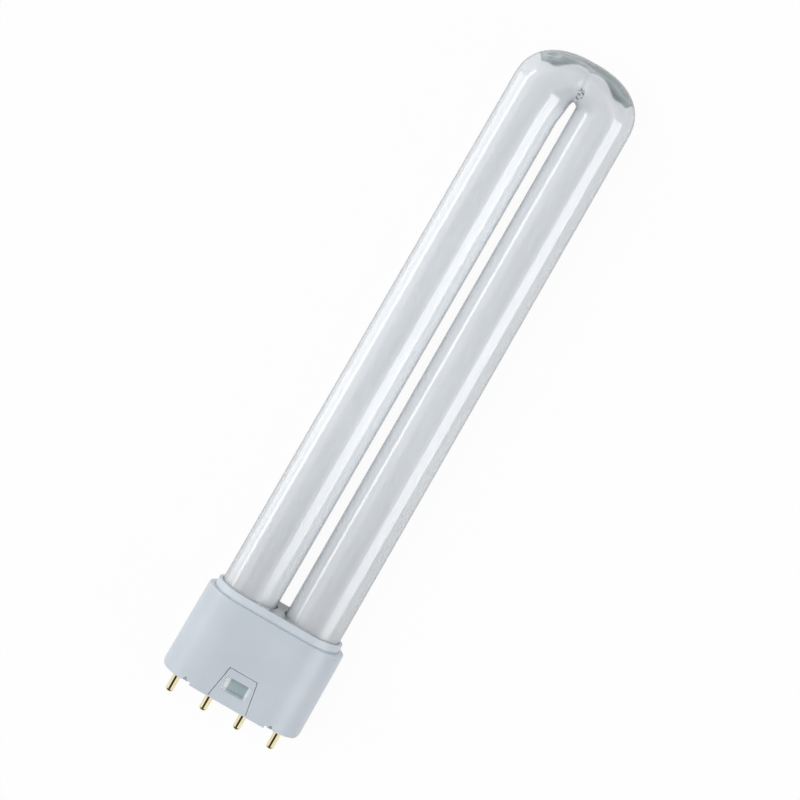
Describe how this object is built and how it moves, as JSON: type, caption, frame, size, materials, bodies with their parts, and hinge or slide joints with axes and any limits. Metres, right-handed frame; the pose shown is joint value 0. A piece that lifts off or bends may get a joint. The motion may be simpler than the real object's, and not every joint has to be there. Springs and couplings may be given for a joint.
{
  "type": "u shaped fluorescent bulb",
  "caption": "Compact fluorescent bulb: a white glass tube bent into a narrow U, cemented into a flat stadium-shaped plastic cap with contact pins in one row.",
  "frame": {"origin": "middle of the whole bulb's box seen from above, at floor level, with the bulb lying on the broad side of its cap", "axes": "+Y from the cap towards the tube's tip, pins towards -Y; +X across the two legs; +Z out of the upper broad side of the cap"},
  "size_m": [0.0442, 0.2178, 0.0238],
  "materials": {
    "phosphor_glass": "gloss glass, coated inside with white phosphor, a little clear at the tip",
    "holder_plastic": "satin",
    "lamp_cement": "dull cement",
    "cap_plastic": "satin, light blue grey",
    "pin_brass": "polished",
    "wire_metal": "drawn wire"
  },
  "bodies": {
    "root": {"glass_tube": "phosphor_glass", "tube_holder": "holder_plastic", "cement_left": "lamp_cement", "cement_right": "lamp_cement", "cap_housing": "cap_plastic", "pin_carrier": "cap_plastic", "contact_pin_1": "pin_brass", "contact_pin_2": "pin_brass", "contact_pin_3": "pin_brass", "contact_pin_4": "pin_brass", "lead_wire_1": "wire_metal", "lead_wire_2": "wire_metal", "lead_wire_3": "wire_metal", "lead_wire_4": "wire_metal"}
  },
  "joints": []
}
